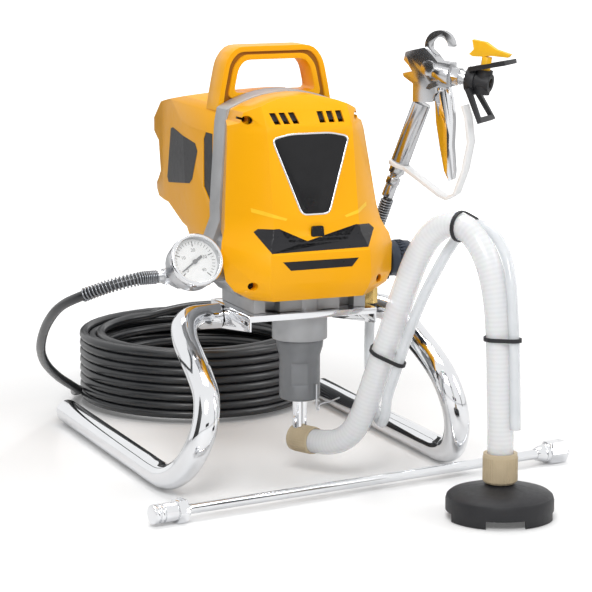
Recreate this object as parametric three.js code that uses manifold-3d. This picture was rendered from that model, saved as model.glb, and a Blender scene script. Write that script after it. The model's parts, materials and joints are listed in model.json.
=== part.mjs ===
// Airless paint sprayer: a piston pump under a motor housing, on two bent tube legs, with its
// suction hose, paint hose, spray gun and extension lance.
// Millimetres. X to the right for someone facing the badge, Y to the back, Z up. The pump stands
// over x = 0.
import * as THREE from 'three';
import { ConvexGeometry } from 'three/addons/geometries/ConvexGeometry.js';
import Module from 'manifold-3d';

const wasm = await Module();
wasm.setup();

// ---------------------------------------------------------------- driving dimensions

const gap = 0.3;                 // between two pieces that touch
const coverWall = 3.2;           // moulded covers
const panelSheet = 1.5;          // plastic panels let into the covers
const bandFront = 34;            // the cast band between the covers, front and rear
const bandRear = 62;
const bandProud = 1.2;           // how far the band stands out past the covers
const housingHalf = 72;          // lower part of the cast housing
const housingFloor = 178;        // underside of the gear case
const footHalf = 58;             // foot of the housing, on the plate
const shoulderHeight = 240;      // where the cast housing steps out
const crownHeight = 372;         // top of the arch over the covers
const handleHeight = 414;
const handleDepth = 32;

const plateTop = 166;
const plateSheet = 2;
const plateHalf = 66;
const plateFront = -38;
const plateRear = 68;
const legRadius = 12.5;
const legSpread = 147;           // leg centre line from the middle, on the floor
const legRear = 292;
const legSeatY = 44;             // where the legs are bolted to the plate
const legSeatHeight = 153;
const boltRadius = 4;

const pumpY = -2;
const throatRadius = 27;
const throatBottom = 134.7;
const throatTop = 215;
const bodyRadius = 20;
const bodyBottom = 74;
const rodRadius = 8;
const pipeRadius = 7;
const suctionHeight = 34.5;      // centre line of the suction connection

const crankHeight = 262;
const crankThrow = 6;
const crankPinRadius = 4;
const gearTeeth = 48;
const pinionTeeth = 12;
const gearModule = 1.25;
const gearBacklash = 0.5;        // added to the gears' centre distance
const gearFront = 8;
const gearWidth = 12;
const motorRadius = 38;
const motorRear = 200;
const motorWall = 6;
const shaftRadius = 4;

const gaugeRadius = 26;
const gaugeDepth = 26;
const gaugeTilt = 25 * Math.PI / 180;
const gaugePlace = [-89 - gaugeRadius, -28, 222.5];
const outletHeight = 202;
const outletY = 8;
const outletReach = 126;         // outlet port from the middle

const knobRadius = 17.5;
const knobStart = 90;
const knobEnd = 114;
const knobHeight = 208;
const knobY = -6;
const returnX = 75.5;
const returnY = 0;
const returnHeight = 150;        // where the return tube starts

const paintHoseRadius = 4.7;
const springRadius = 6.9;        // bend guards over the hose ends
const coilRadius = 124;
const coilBore = 95.5;
const coilStack = 84;
const coilX = 15;
const coilY = 350;

const suctionHoseRadius = 12;
const returnTubeRadius = 5;
const footX = 107;
const footY = -227;
const footRadius = 50;
const footLug = 7;               // height of the four lugs it stands on
const footNutHeight = 30;

const gunPlace = [127.4, 45, 293.4];
const gunTurn = -47 * Math.PI / 180;
const gripLean = 21 * Math.PI / 180;      // gun handle from upright
const barrelDip = 9 * Math.PI / 180;      // gun barrel below level
const gripRadius = 9.2;
const gripLength = 60;
const barrelRadius = 12.5;
const barrelPlace = [50, 91.5];

const lanceRadius = 4.75;
const lanceLength = 470;
const lanceHeight = 10.7;

// ---------------------------------------------------------------- materials

const finish = (color, roughness, metalness) => () => new THREE.MeshStandardMaterial({ color, roughness, metalness });
const yellowPlastic = finish(0xfdb913, 0.42, 0);
const blackPlastic = finish(0x18191b, 0.55, 0);
const glossBlack = finish(0x08090a, 0.12, 0);
const castMetal = finish(0x9a9b9e, 0.5, 0.75);
const chrome = finish(0xe8eaec, 0.08, 1);
const steel = finish(0xb9bcc0, 0.28, 1);
const brass = finish(0xd9b45c, 0.25, 1);
const rubber = finish(0x16181b, 0.45, 0);
const clearHose = finish(0xe4e6ea, 0.35, 0);
const beigePlastic = finish(0xb3a179, 0.55, 0);
const orangePlastic = finish(0xe8a22a, 0.4, 0);
const whitePlastic = finish(0xf2f3f3, 0.4, 0);
const clearLens = finish(0xf4f6f8, 0.05, 0);

// ---------------------------------------------------------------- shape helpers

const across = new THREE.Vector3(1, 0, 0);
const along = new THREE.Vector3(0, 1, 0);
const up = new THREE.Vector3(0, 0, 1);

// Joins corners that coincide and leaves out triangles of no area.
function weld(geometry) {
  const source = geometry.index ? geometry.toNonIndexed() : geometry;
  const corners = source.getAttribute('position');
  const places = [];
  const known = new Map();
  const ids = [];
  for (let i = 0; i < corners.count; i += 1) {
    const corner = [corners.getX(i), corners.getY(i), corners.getZ(i)];
    const key = corner.map((value) => Math.round(value * 10000)).join();
    if (!known.has(key)) {
      known.set(key, places.length / 3);
      places.push(...corner);
    }
    ids.push(known.get(key));
  }
  const faces = [];
  for (let i = 0; i < ids.length; i += 3) {
    const [a, b, c] = ids.slice(i, i + 3);
    if (a !== b && b !== c && c !== a) faces.push(a, b, c);
  }
  return { places, faces };
}

// A closed solid for cutting and joining, turned right side out.
function solid(geometry) {
  const { places, faces } = weld(geometry);
  const build = (triangles) => new wasm.Manifold(new wasm.Mesh({
    numProp: 3,
    vertProperties: new Float32Array(places),
    triVerts: new Uint32Array(triangles),
  }));
  const body = build(faces);
  return body.volume() > 0 ? body : build(faces.reverse());
}

function toGeometry(body) {
  const mesh = body.getMesh();
  const geometry = new THREE.BufferGeometry();
  geometry.setAttribute('position', new THREE.BufferAttribute(new Float32Array(mesh.vertProperties), 3));
  geometry.setIndex(new THREE.BufferAttribute(new Uint32Array(mesh.triVerts), 1));
  return geometry;
}

const join = (...bodies) => bodies.reduce((whole, body) => whole.add(body));
const cut = (body, ...tools) => tools.reduce((whole, tool) => whole.subtract(tool), body);
const mirrored = (body) => body.mirror([1, 0, 0]);
const bothSides = (body) => join(body, mirrored(body));
const degrees = (radians) => radians * 180 / Math.PI;

const box = (x0, x1, y0, y1, z0, z1) => solid(
  new THREE.BoxGeometry(x1 - x0, y1 - y0, z1 - z0).translate((x0 + x1) / 2, (y0 + y1) / 2, (z0 + z1) / 2),
);

// An outline in the plane of `first` and `second`, pushed `depth` along `normal`.
function slab(outline, depth, first, second, normal, holes = []) {
  const shape = new THREE.Shape(outline.map(([a, b]) => new THREE.Vector2(a, b)));
  for (const hole of holes) shape.holes.push(new THREE.Path(hole.map(([a, b]) => new THREE.Vector2(a, b))));
  const geometry = new THREE.ExtrudeGeometry(shape, { depth, bevelEnabled: false });
  return solid(geometry.applyMatrix4(new THREE.Matrix4().makeBasis(first, second, normal)));
}

// Outlines given as [y, z], [x, z] and [x, y].
const slabX = (outline, x0, x1, holes) => slab(outline, x1 - x0, along, up, across, holes).translate([x0, 0, 0]);
const slabY = (outline, y0, y1, holes) => (
  slab(outline, y1 - y0, across, up, along.clone().negate(), holes).translate([0, y1, 0])
);
const slabZ = (outline, z0, z1, holes) => slab(outline, z1 - z0, across, along, up, holes).translate([0, 0, z0]);

// A profile of [radius, height] corners turned round Z.
function turned(profile, sides = 24) {
  const corners = profile.map(([radius, height]) => new THREE.Vector2(radius, height));
  const closed = profile[0][0] > 0 ? [...corners, corners[0]] : corners;
  return solid(new THREE.LatheGeometry(closed, sides).rotateX(Math.PI / 2));
}

const rod = (radius, z0, z1, sides = 24) => turned([[0, z0], [radius, z0], [radius, z1], [0, z1]], sides);
const alongX = (body) => body.rotate([0, 90, 0]);
const alongY = (body) => body.rotate([-90, 0, 0]);

const circle = (radius, sides) => Array.from({ length: sides }, (_, i) => {
  const angle = 2 * Math.PI * (i + 0.5) / sides;
  return [radius * Math.cos(angle), radius * Math.sin(angle)];
});

const curveThrough = (points) => new THREE.CatmullRomCurve3(points.map((place) => new THREE.Vector3(...place)));

// Part of a curve, between two shares of its run.
const stretch = (curve, from, to, count = 8) => new THREE.CatmullRomCurve3(
  Array.from({ length: count + 1 }, (_, i) => curve.getPoint(from + (to - from) * i / count)),
);

// A round bar, or with a bore a sleeve, along a curve.
function sweep(curve, radius, steps, sides = 12, bore = 0) {
  const shape = new THREE.Shape(circle(radius, sides).map(([a, b]) => new THREE.Vector2(a, b)));
  if (bore > 0) shape.holes.push(new THREE.Path(circle(bore, sides).map(([a, b]) => new THREE.Vector2(a, b))));
  return solid(new THREE.ExtrudeGeometry(shape, { steps, extrudePath: curve, bevelEnabled: false }));
}

const hull = (points) => solid(new ConvexGeometry(points.map((place) => new THREE.Vector3(...place))));

// The same outline moved inwards by `distance`; corners run counter-clockwise.
function inset(outline, distance) {
  return outline.map((corner, i) => {
    const before = outline[(i + outline.length - 1) % outline.length];
    const after = outline[(i + 1) % outline.length];
    const normals = [[before, corner], [corner, after]].map(([from, to]) => {
      const length = Math.hypot(to[0] - from[0], to[1] - from[1]);
      return [-(to[1] - from[1]) / length, (to[0] - from[0]) / length];
    });
    const [a, b] = normals;
    const spread = 1 + a[0] * b[0] + a[1] * b[1];
    return [corner[0] + distance * (a[0] + b[0]) / spread, corner[1] + distance * (a[1] + b[1]) / spread];
  });
}

// Rounds every corner of an outline.
function rounded(outline, radius, steps = 3) {
  return outline.flatMap((corner, i) => {
    const towards = (other) => {
      const length = Math.hypot(other[0] - corner[0], other[1] - corner[1]);
      const reach = Math.min(radius, length * 0.45) / length;
      return [corner[0] + (other[0] - corner[0]) * reach, corner[1] + (other[1] - corner[1]) * reach];
    };
    const start = towards(outline[(i + outline.length - 1) % outline.length]);
    const end = towards(outline[(i + 1) % outline.length]);
    return Array.from({ length: steps + 1 }, (_, k) => {
      const t = k / steps;
      return [0, 1].map((n) => (1 - t) ** 2 * start[n] + 2 * t * (1 - t) * corner[n] + t ** 2 * end[n]);
    });
  });
}

const part = new THREE.Group();
const cordNodes = new Set();

// Adds one named piece to the part, or to a group inside it.
function piece(name, body, material, parent = part) {
  const mesh = new THREE.Mesh(toGeometry(body), material());
  mesh.name = name;
  parent.add(mesh);
  return mesh;
}

function cordPiece(name, body, material, parent = part) {
  cordNodes.add(piece(name, body, material, parent));
}

// ---------------------------------------------------------------- covers

// The arch over the covers, from the right-hand corner to the left.
const archCorner = 58;
const archDrop = 15;
function arch(lift, steps = 10) {
  return Array.from({ length: steps + 1 }, (_, i) => {
    const x = archCorner * (1 - 2 * i / steps);
    return [x, crownHeight + lift - archDrop * (x / archCorner) ** 2];
  });
}

// Sections of the front cover from below: height, then half width and depth of its rear edge,
// of its side corner and of its flat middle.
const lowerSections = [
  [181, 62, 0, 62, -33, 46, -50],
  [190, 72, 0, 79, -31, 50, -54],
  [200, 74, 0, 86, -27, 52, -57],
  [226, 74, 0, 89, -22, 51, -56],
  [236, 73, 0, 87, -19, 48, -50],
  [shoulderHeight, 71, 0, 85, -16, 46, -48.5],
];
const upperSections = [
  [shoulderHeight, 68, bandFront, 85, -16, 46, -48.5],
  [249, 67.5, bandFront, 81, -12, 44, -45.5],
  [262, 67, bandFront, 79, -7, 44, -43],
  [336, 62.5, bandFront, 71, 7, 44, -29.3],
  [343, 62, bandFront, 70, 10, 44, -27.7],
  [crownHeight + 1, 62, bandFront, 70, 20, 44, -6],
];

function sectionBlock(sections, wall, rearClearance) {
  const ring = ([height, rearHalf, rearY, sideHalf, sideY, middleHalf, middleY]) => {
    const rear = rearY - rearClearance;
    const shape = [[rearHalf - wall, rear], [sideHalf - wall, sideY + wall / 2], [middleHalf, middleY + wall]];
    return shape.flatMap(([half, y]) => [[half, y, height], [-half, y, height]]);
  };
  const rings = sections.map(ring);
  return join(...rings.slice(1).map((upper, i) => hull([...rings[i], ...upper])));
}

function frontCoverBlock(wall) {
  const open = ([height, ...rest], i) => [i || wall === 0 ? height : height - 1, ...rest];
  const rear = wall > 0 ? -1 : gap;
  const lower = sectionBlock(lowerSections.map(open), wall, rear);
  const upperStart = wall > 0 ? [[shoulderHeight - 1, ...upperSections[0].slice(1)]] : [];
  const upper = sectionBlock([...upperStart, ...upperSections], wall, rear);
  const side = 100;
  const outline = [
    [-side, 170], [side, 170], [side, 343.5 - wall], [70 - wall, 343.5 - wall], [61 - wall, 347 - wall],
    ...arch(-wall).map(([x, z]) => [Math.min(Math.max(x, wall - 59), 59 - wall), z]),
    [wall - 61, 347 - wall], [wall - 70, 343.5 - wall], [-side, 343.5 - wall],
  ];
  return join(lower, upper).intersect(slabY(outline, -120, 120));
}

// Frames on the sloping middle of the front cover: a place on it and its lean.
const badgeLean = Math.atan2(43 - 29.3, 336 - 262);
const badgeCentre = [0, -36.2, 299];
const onBadgeFace = (body) => body.rotate([-degrees(badgeLean), 0, 0]).translate(badgeCentre);
const badgeOutline = rounded([[-39.5, 35], [-14, -38], [14, -38], [39.5, 35], [20, 39], [-20, 39]], 6);
const badgePocket = 1.8;
const plugOutline = rounded([[-6.8, -5], [6.8, -5], [5.8, 5], [-5.8, 5]], 2);
const onPlugFace = (body) => body.translate([0, -47.3, 246]);
const browLean = Math.atan2(27.7 - 6, crownHeight + 1 - 343);

const screwPlaces = [
  { name: 'cover_screw_top_left', x: -56, z: 350, face: 2, rear: bandFront },
  { name: 'cover_screw_top_right', x: 56, z: 350, face: 2, rear: bandFront },
  { name: 'cover_screw_bottom_left', x: -65, z: 196, face: -43, rear: 0 },
  { name: 'cover_screw_bottom_right', x: 65, z: 196, face: -43, rear: 0 },
];
const screwHead = 3.8;
const screwShank = 2;
const screwDepth = 12;           // how deep each screw sits below the cover's face
const screwThread = 9;           // how far it reaches into the casting

const ventWidth = 6.3;
const ventPitch = 9.6;
const ventSlots = [[-23.5, 3.2], [24, 0.8]].flatMap(([centre, slant]) => [-1, 0, 1].map((i) => {
  const x = centre + i * ventPitch;
  return [
    [x - ventWidth / 2 + slant / 2, 346.5], [x + ventWidth / 2 + slant / 2, 346.5],
    [x + ventWidth / 2 - slant / 2, 357], [x - ventWidth / 2 - slant / 2, 357],
  ];
}));

function frontCover() {
  const outer = frontCoverBlock(0);
  const bosses = screwPlaces.map(({ x, z, face, rear }) => (
    alongY(rod(screwHead + 2.4, face, rear - gap, 16)).translate([x, 0, z])
  ));
  const shell = join(cut(outer, frontCoverBlock(coverWall)), ...bosses.map((boss) => boss.intersect(outer)));
  const screwHoles = screwPlaces.flatMap(({ x, z, face, rear }) => [
    alongY(rod(screwShank + gap, face, rear + 1, 12)).translate([x, 0, z]),
    alongY(rod(screwHead + gap, face - 30, face + screwDepth, 16)).translate([x, 0, z]),
  ]);
  const shaftHole = alongX(rod(5 + gap, 50, 100, 16)).translate([0, knobY, knobHeight]);
  const switchHole = alongX(rod(5 + gap, 60, 100, 12)).translate([0, switchY, switchHeight]);
  return cut(
    shell,
    ...screwHoles,
    onBadgeFace(slabY(inset(badgeOutline, -gap), -6, badgePocket)),
    onPlugFace(slabY(inset(plugOutline, -gap), -6, badgePocket)),
    ...ventSlots.map((slot) => slabY(slot, -60, 8)),
    shaftHole,
    switchHole,
  );
}

// The rear cover: its outline from the side, from above and from behind.
const rearSide = [
  [bandRear, 216], [143, 216], [146, 227], [215, 243], [262, 243], [274, 249], [275, 256], [263, 263],
  [251, 271], [262, 302], [268, 303], [289, 309], [289, 323], [247, 344], [bandRear, crownHeight + 3],
];
const rearPlan = [[-66, bandRear - 5], [66, bandRear - 5], [66, 130], [57, 232], [46, 300], [-46, 300], [-57, 232],
  [-66, 130]];

function rearCoverBlock(wall) {
  const half = [[-58, 205 + wall], [58, 205 + wall], [65 - wall, 236], [64 - wall, 330], [60 - wall, 350 - wall]];
  const outline = [
    ...half, ...arch(-wall).map(([x, z]) => [Math.min(Math.max(x, wall - 56), 56 - wall), z]),
    [wall - 60, 350 - wall], [wall - 64, 330], [wall - 65, 236],
  ];
  const front = wall === 0 ? bandRear + gap : bandRear - 1;
  const side = inset(rearSide, wall).map(([y, z]) => [y < bandRear + 5 ? front : y, z]);
  const plan = inset(rearPlan, wall);
  return slabX(side, -80, 80).intersect(slabY(outline, 0, 330)).intersect(slabZ(plan, 200, 400));
}

const ventPanel = [[67, 262], [74, 262], [92, 275], [92, 322], [86, 329], [67, 329]];
const glandY = 275;
const glandHeight = 252.5;
const glandRadius = 8;

function rearCover() {
  const shell = cut(rearCoverBlock(0), rearCoverBlock(coverWall));
  const pocket = slabX(inset(ventPanel, -gap), 64 - badgePocket - 0.4, 80);
  const glandHole = alongY(rod(glandRadius - 2 + gap, 240, 290, 16)).translate([0, 0, glandHeight]);
  return cut(shell, bothSides(pocket), glandHole);
}

const switchY = -13;
const switchHeight = 192;

function coverParts() {
  piece('front_cover', frontCover(), yellowPlastic);
  piece('rear_cover', rearCover(), yellowPlastic);
  piece('badge_panel', onBadgeFace(slabY(badgeOutline, badgePocket - gap - panelSheet, badgePocket - gap)), glossBlack);
  piece('oiler_plug', onPlugFace(slabY(plugOutline, -0.9, badgePocket - gap)), glossBlack);
  const panel = slabX(ventPanel, 64 - badgePocket - 0.4 + gap, 64 - badgePocket - 0.4 + gap + panelSheet);
  piece('right_vent_panel', panel, blackPlastic);
  piece('left_vent_panel', mirrored(panel), blackPlastic);
  const baffle = box(-37, 37, 2.5, 3.7, -8, 2).rotate([-degrees(browLean), 0, 0]).translate([0, -17, 357]);
  piece('vent_baffle', baffle, blackPlastic);
  for (const { name, x, z, face, rear } of screwPlaces) {
    const seat = face + screwDepth - gap;
    const profile = [
      [0, seat - 2], [2, seat - 2], [2, seat - 3.5], [screwHead, seat - 3.5], [screwHead, seat],
      [screwShank, seat], [screwShank, rear + screwThread], [0, rear + screwThread],
    ];
    piece(name, alongY(turned(profile, 12)).translate([x, 0, z]), blackPlastic);
  }
  const glandProfile = [
    [0, 262], [glandRadius - 2, 262], [glandRadius - 2, glandY + gap], [glandRadius, glandY + gap],
    [glandRadius, glandY + 5], [glandRadius - 3, glandY + 16], [0, glandY + 16],
  ];
  piece('cable_gland', alongY(turned(glandProfile, 16)).translate([0, 0, glandHeight]), blackPlastic);
}

// The handle stands on the rear cover, right behind the cast band.
const handleOuter = [[-62, 340], [62, 340], [57, 372], [51, 401], [40, handleHeight], [-40, handleHeight],
  [-51, 401], [-57, 372]];
const handleInner = [[-43, 369], [43, 369], [38, 393], [31, 401], [-31, 401], [-38, 393]];

function carryHandle() {
  const front = bandRear + gap;
  const ring = slabY(rounded(handleOuter, 9), front, front + handleDepth, [rounded(handleInner, 6)]);
  const channelOuter = rounded(inset(handleOuter, 5), 6);
  const channel = slabY(channelOuter, front - 1, front + 3, [rounded(inset(handleInner, -5), 6)]);
  return cut(ring, channel, rearCoverBlock(-gap), box(-70, 70, 50, 120, 300, 352));
}

// ---------------------------------------------------------------- cast housing

const crankRadius = gearTeeth * gearModule / 2;
const pinionRadius = pinionTeeth * gearModule / 2;
const motorHeight = crankHeight + crankRadius + pinionRadius + gearBacklash;
const bandOutline = [
  [-69, 241], [69, 241], [69, 249], [68 + bandProud, 262], [62.5 + bandProud, 343],
  [60 + bandProud, 356], ...arch(bandProud), [-60 - bandProud, 356],
  [-62.5 - bandProud, 343], [-68 - bandProud, 262], [-69, 249],
];
const gearCaseOutline = [
  [-60, housingFloor], [60, housingFloor], [housingHalf, 190], [housingHalf, shoulderHeight - 10],
  [62, shoulderHeight - gap - 1], [-62, shoulderHeight - gap - 1], [-housingHalf, shoulderHeight - 10],
  [-housingHalf, 190],
];
const shoulderOutline = [[-60, 200], [60, 200], [76, 214], [76, 231], [69, 249], [-69, 249], [-76, 231], [-76, 214]];

function driveHousing() {
  const bearing = (radius, height) => alongY(rod(radius + gap, bandFront - 20, bandRear + 10, 20)).translate([0, 0, height]);
  const body = join(
    slabY(bandOutline, bandFront, bandRear),
    slabY(gearCaseOutline, 3.6, bandRear),
    slabY(shoulderOutline, bandFront, bandRear),
    box(-34, 34, -30, 10, housingFloor, 222),
    box(-footHalf, footHalf, -28, 58, plateTop + gap, housingFloor + 1.5),
  );
  const gearPocket = box(-35, 35, gearFront - 4, gearFront + gearWidth + 4, 224, 260);
  const screwBores = screwPlaces.map(({ x, z, rear }) => (
    alongY(rod(screwShank + gap, rear - 4, rear + screwThread + 2, 12)).translate([x, 0, z])
  ));
  return cut(
    body,
    rod(throatRadius + gap, 100, 230, 32).translate([0, pumpY, 0]),
    rod(rodRadius + gap, 200, 260, 20).translate([0, pumpY, 0]),
    gearPocket,
    bearing(6, crankHeight),
    bearing(shaftRadius, motorHeight),
    bothSides(box(31, 46, -30, -14, plateTop - 1, housingFloor)),
    ...screwBores,
  );
}

function controlParts() {
  piece('drive_housing', driveHousing(), castMetal);
  const knob = join(
    turned([[0, knobStart], [knobRadius, knobStart], [knobRadius, knobStart + 9], [knobRadius - 1.5, knobStart + 10],
      [knobRadius - 1.5, knobStart + 12], [knobRadius, knobStart + 13], [knobRadius - 1, knobEnd], [0, knobEnd]], 24),
    rod(5, 66, knobStart + 1, 16),
  );
  piece('pressure_knob', alongX(knob).translate([0, knobY, knobHeight]), blackPlastic);
  const lever = turned([[0, 68.4], [3, 69.5], [4.6, 73], [3, 76.5], [3, 82], [4, 85], [3.4, 89], [0, 89]], 12);
  piece('power_switch', alongX(lever).translate([0, switchY, switchHeight]), blackPlastic);
  const fitting = join(
    rod(7.5, returnHeight + 14, returnHeight + 29, 6),
    rod(2.5, returnHeight + 28, returnHeight + 34, 12),
    alongX(rod(4, footHalf + gap - returnX, 0, 12)).translate([0, 0, returnHeight + 22]),
  );
  piece('return_fitting', fitting.translate([returnX, returnY, 0]), brass);
  const nut = rod(returnTubeRadius + 1.6, returnHeight + gap, returnHeight + 14 - gap, 12);
  piece('return_nut', nut.translate([returnX, returnY, 0]), blackPlastic);
}

function gaugeParts() {
  const gauge = new THREE.Group();
  gauge.position.set(...gaugePlace);
  gauge.rotation.x = Math.PI / 2 - gaugeTilt;
  part.add(gauge);
  const caseRadius = gaugeRadius - 1.5;
  const dial = -8;
  const caseProfile = [
    [0, -gaugeDepth - 10], [6, -gaugeDepth - 10], [6, -gaugeDepth], [caseRadius - 3, -gaugeDepth],
    [caseRadius, -gaugeDepth + 3], [caseRadius, -gap], [caseRadius - 1.5, -gap], [caseRadius - 1.5, dial], [0, dial],
  ];
  piece('gauge_case', turned(caseProfile, 32), steel, gauge);
  const bezelProfile = [
    [caseRadius + gap, -5], [gaugeRadius, -5], [gaugeRadius, 0.4], [gaugeRadius - 1.2, 2], [gaugeRadius - 3.6, 2],
    [gaugeRadius - 3.6, gap], [caseRadius + gap, gap],
  ];
  piece('gauge_bezel', turned(bezelProfile, 32), chrome, gauge);
  const lensProfile = [[0, -1.8], [caseRadius - 1.8, -1.8], [caseRadius - 1.8, -gap], [0, -gap]];
  piece('gauge_lens', turned(lensProfile, 32), clearLens, gauge);
  const pointer = slabZ([[-0.5, -17], [0.5, -17], [0.9, 0], [1.3, 1], [1.3, 9], [-1.3, 9], [-1.3, 1], [-0.9, 0]],
    dial + 1.2, dial + 2);
  const needle = join(pointer, rod(2.2, dial + gap, dial + 3, 12));
  piece('gauge_needle', needle.rotate([0, 0, -56]), blackPlastic, gauge);

  const stemBore = rod(6 + gap, -gaugeDepth - 10 - gap, -gaugeDepth + 4, 16)
    .rotate([90 - degrees(gaugeTilt), 0, 0]).translate(gaugePlace);
  const block = join(
    box(-outletReach, 11 + gaugePlace[0], outletY - 10, outletY + 12, outletHeight - 11, outletHeight + 12),
    alongX(rod(7.8, 10 + gaugePlace[0], -housingHalf - gap, 20)).translate([0, outletY, outletHeight]),
  );
  piece('outlet_manifold', cut(block, stemBore), castMetal);
  const outletNut = join(rod(8.4, gap, 11, 6), rod(6, 10, 16.6, 16));
  piece('outlet_nut', alongX(outletNut.mirror([0, 0, 1])).translate([-outletReach, outletY, outletHeight]), steel);
}

// ---------------------------------------------------------------- plate and legs

const legPath = [
  [plateHalf + gap, legSeatY, legSeatHeight], [81, legSeatY, legSeatHeight], [98, 36, 153.5], [110.5, 22, 149.5], [116, 4, 139],
  [118.5, -22, 127], [120.5, -50, 114], [123, -73, 98], [128, -83, 76], [134, -79, 54], [140, -62, 32],
  [144.3, -43, 19.8], [146.4, -22, 13.8], [legSpread, 2, legRadius], [legSpread, 40, legRadius],
  [legSpread, 160, legRadius],
  [legSpread, legRear, legRadius],
];

function basePlate() {
  const sheet = box(-plateHalf, plateHalf, plateFront, plateRear, plateTop - plateSheet, plateTop);
  const lip = box(-plateHalf, plateHalf, plateFront, plateFront + plateSheet, plateTop - 6, plateTop);
  const flange = slabX([
    [plateFront, plateTop], [plateRear, plateTop], [plateRear, 138], [plateFront, 151],
  ].reverse(), plateHalf - plateSheet, plateHalf);
  const slot = slabX(rounded([[-33, 155.5], [-20, 155.5], [-20, 159.5], [-33, 159.5]], 2), 50, 80);
  const bolt = alongX(rod(boltRadius + gap, 50, 80, 16)).translate([0, legSeatY, legSeatHeight]);
  return cut(
    join(sheet, lip, bothSides(flange)),
    rod(throatRadius + gap, 100, 200, 32).translate([0, pumpY, 0]),
    bothSides(join(slot, bolt)),
  );
}

function standParts() {
  piece('base_plate', basePlate(), chrome);
  const tube = sweep(curveThrough(legPath), legRadius, 44, 14);
  const bore = alongX(rod(boltRadius + gap, 60, plateHalf + 14, 12)).translate([0, legSeatY, legSeatHeight]);
  const leg = cut(tube, bore);
  piece('right_leg', leg, chrome);
  piece('left_leg', mirrored(leg), chrome);
  const inside = plateHalf - plateSheet - gap;
  const bolt = join(rod(boltRadius, inside - 1, plateHalf + 12, 12), rod(7, inside - 5, inside, 6));
  const rightBolt = alongX(bolt).translate([0, legSeatY, legSeatHeight]);
  piece('right_leg_bolt', rightBolt, steel);
  piece('left_leg_bolt', mirrored(rightBolt), steel);
}

// ---------------------------------------------------------------- pump and drive

// A toothed wheel about Z, its face from z0 to z1.
function gearWheel(teeth, z0, z1) {
  const pitch = teeth * gearModule / 2;
  const step = 2 * Math.PI / teeth;
  const outline = Array.from({ length: teeth }, (_, i) => (
    [[-0.32, pitch - 1.4], [-0.14, pitch + 0.9], [0.14, pitch + 0.9], [0.32, pitch - 1.4]].map(([share, radius]) => (
      [radius * Math.cos((i + share) * step), radius * Math.sin((i + share) * step)]
    ))
  )).flat();
  return slabZ(outline, z0, z1);
}

function pumpParts() {
  const stand = (body) => body.translate([0, pumpY, 0]);
  const throat = turned([[0, throatBottom], [throatRadius, throatBottom], [throatRadius, throatTop],
    [rodRadius + gap, throatTop], [rodRadius + gap, throatBottom + 6], [0, throatBottom + 6]], 32);
  piece('pump_throat', stand(throat), castMetal);
  const body = turned([
    [0, bodyBottom], [bodyRadius - 4, bodyBottom], [bodyRadius - 1, bodyBottom + 1.2], [bodyRadius, bodyBottom + 4],
    [bodyRadius, 118], [bodyRadius + 2.5, 126], [bodyRadius + 3.5, throatBottom - gap],
    [0, throatBottom - gap],
  ], 32);
  const recess = box(-8, 8, -bodyRadius - 2, -bodyRadius + 2.5, 91, 113).rotate([0, 0, -22]);
  const pipeBore = rod(pipeRadius + gap, bodyBottom - 1, bodyBottom + 9, 20);
  piece('pump_body', stand(cut(body, recess, pipeBore)), castMetal);

  const rodTop = crankHeight - 22;
  const window = crankThrow * 2 + crankPinRadius + 1;
  const yoke = box(-window - 5, window + 5, pumpY - 4, pumpY + 4, rodTop, crankHeight + window + 5);
  const opening = box(-window, window, pumpY - 5, pumpY + 5, crankHeight - window, crankHeight + window);
  const stem = stand(rod(rodRadius, throatBottom + 16, rodTop + 1, 20));
  piece('piston_rod', join(cut(yoke, opening), stem), steel);

  const wheel = join(
    gearWheel(gearTeeth, gearFront, gearFront + gearWidth),
    rod(6, gearFront, bandRear - 4, 16),
    rod(crankPinRadius, pumpY - 6, gearFront + 1, 16).translate([0, crankThrow, 0]),
  );
  const drive = alongY(wheel.mirror([0, 1, 0]));
  piece('crank_gear', drive.translate([0, 0, crankHeight]), steel);

  const pinion = gearWheel(pinionTeeth, gearFront, gearFront + gearWidth)
    .rotate([0, 0, 90 + 180 / pinionTeeth]);
  const rotor = join(
    pinion,
    rod(shaftRadius, gearFront, motorRear + 12, 16),
    rod(motorRadius - motorWall - 2, 82, 176, 24),
    rod(motorRadius - 6, motorRear + 4, motorRear + 12, 24),
  );
  piece('motor_rotor', alongY(rotor).translate([0, 0, motorHeight]), steel);
  const motorFront = bandRear + gap + 0.2;
  const motorProfile = [
    [shaftRadius + gap, motorFront], [motorRadius, motorFront], [motorRadius, motorRear],
    [shaftRadius + gap, motorRear], [shaftRadius + gap, motorRear - 5], [motorRadius - motorWall, motorRear - 5],
    [motorRadius - motorWall, motorFront + 6], [shaftRadius + gap, motorFront + 6],
  ];
  piece('motor', alongY(turned(motorProfile, 24)).translate([0, 0, motorHeight]), blackPlastic);
}

// ---------------------------------------------------------------- suction side

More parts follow.
